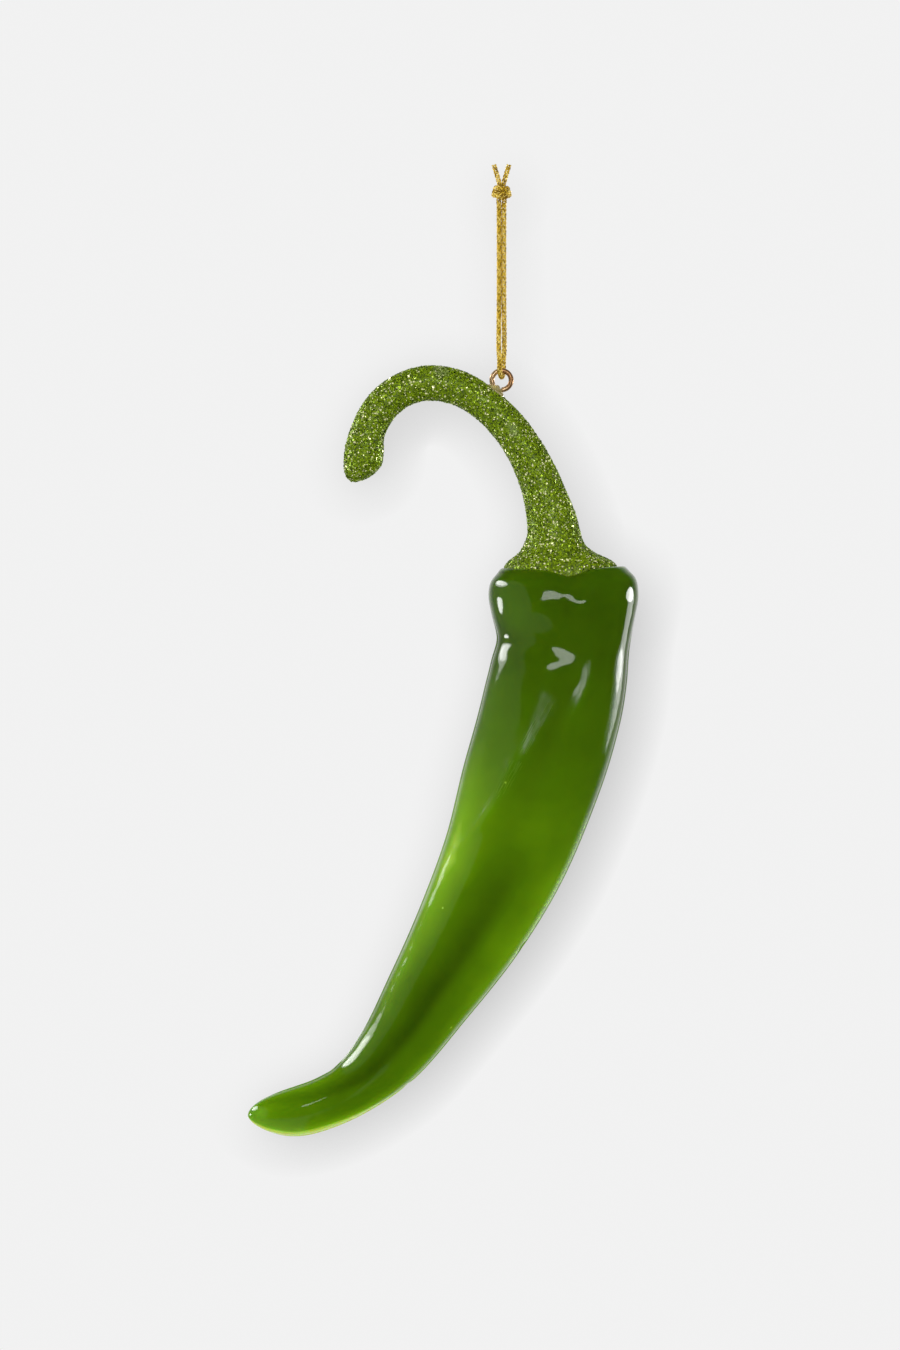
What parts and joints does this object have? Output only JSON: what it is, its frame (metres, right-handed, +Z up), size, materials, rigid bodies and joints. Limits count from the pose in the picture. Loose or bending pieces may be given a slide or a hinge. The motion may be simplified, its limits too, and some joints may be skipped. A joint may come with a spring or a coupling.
{
  "type": "chili ornament",
  "caption": "Curved chilli pepper of glossy cast resin with a glittered hooked stem, a small screw eye and a loop of metallic cord to hang it by.",
  "frame": {"origin": "where a hook bears on the hanging loop, just under its knot", "axes": "+Z up along the taut cord, +X to the right and -Y towards the viewer, with the stem's hook and the tip on the left"},
  "size_m": [0.0781, 0.0237, 0.1942],
  "materials": {
    "green_resin": "clear green cast resin, high gloss",
    "green_glitter": "lime green metallic glitter over a painted core",
    "steel": "plain wire",
    "brass": "polished, a little tarnished",
    "glue": "dried amber glue",
    "metallic_cord": "braided gold thread"
  },
  "bodies": {
    "cord": {"cord_knot": "metallic_cord", "cord_strand_front": "metallic_cord", "cord_strand_back": "metallic_cord"},
    "bight": {"cord_bight": "metallic_cord"},
    "ornament": {"chili_body": "green_resin", "stem": "green_glitter", "stem_dowel": "steel", "screw_eye": "brass", "eye_glue": "glue"}
  },
  "joints": [
    {"name": "swing", "type": "hinge", "parent": "cord", "child": "bight", "pos_m": [0, 0, -0.03358], "axis": [1, 0, 0], "range_deg": [-90, 90], "deforming": ["cord_bight"]},
    {"name": "sway", "type": "hinge", "parent": "bight", "child": "ornament", "pos_m": [0, 0, -0.0355], "axis": [0, 1, 0], "range_deg": [-130, 65]}
  ]
}
